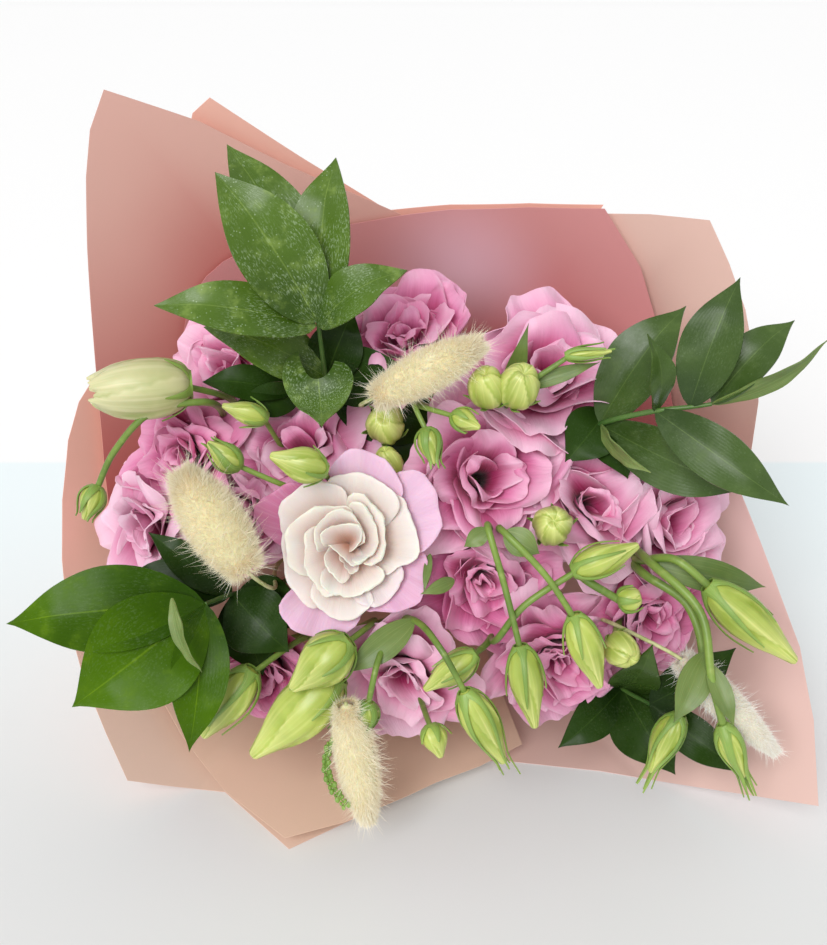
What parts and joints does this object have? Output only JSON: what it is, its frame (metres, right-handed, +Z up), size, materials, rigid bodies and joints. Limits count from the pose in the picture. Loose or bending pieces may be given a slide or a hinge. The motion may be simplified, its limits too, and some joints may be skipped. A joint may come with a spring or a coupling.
{
  "type": "wrapped lisianthus bouquet",
  "caption": "Hand-tied bouquet of double lisianthus blooms with buds, ruscus leaves and bunny-tail grass, wrapped in layered paper and lying on its side.",
  "frame": {"origin": "middle of the bouquet's footprint, on the surface it lies on", "axes": "+Z up from the surface, +X to the right and -Y towards the viewer who faces the flowers; the stems point back along +Y"},
  "size_m": [0.3525, 0.3714, 0.304],
  "materials": {
    "petal_pink": "soft matte petal with a faint sheen",
    "petal_cream": "soft matte petal, cream at the heart and blush at the rim",
    "stem_green": "waxy green stem, bud and leaf",
    "ruscus_green": "leathery glossy leaf",
    "grass_cream": "downy",
    "paper_rose": "matt, slightly see-through wrapping paper",
    "paper_coral": "matt, slightly see-through wrapping paper",
    "tie_ribbon": "satin"
  },
  "bodies": {
    "root": {"bloom_bottom": "petal_pink", "bloom_centre": "petal_pink", "bloom_cream": "petal_cream", "bloom_far_left": "petal_pink", "bloom_far_right": "petal_pink", "bloom_inner_left": "petal_pink", "bloom_left": "petal_pink", "bloom_low_centre": "petal_pink", "bloom_low_left": "petal_pink", "bloom_low_right": "petal_pink", "bloom_right": "petal_pink", "bloom_ruffled": "petal_pink", "bloom_top": "petal_pink", "bloom_top_left": "petal_pink", "bloom_top_right": "petal_pink", "bloom_upper_left": "petal_pink", "bunny_tail_bottom": "grass_cream", "bunny_tail_left": "grass_cream", "bunny_tail_right": "grass_cream", "bunny_tail_top": "grass_cream", "lisianthus_stem_a": "stem_green", "lisianthus_stem_b": "stem_green", "lisianthus_stem_c": "stem_green", "lisianthus_stem_d": "stem_green", "lisianthus_stem_e": "stem_green", "lisianthus_stem_f": "stem_green", "paper_back": "paper_rose", "paper_back_corner": "paper_coral", "paper_back_left": "paper_rose", "paper_front": "paper_rose", "paper_left": "paper_coral", "paper_right": "paper_rose", "paper_right_back": "paper_rose", "ruscus_left": "ruscus_green", "ruscus_low_right": "ruscus_green", "ruscus_right": "ruscus_green", "ruscus_top_left": "ruscus_green", "tie_band": "tie_ribbon"}
  },
  "joints": []
}
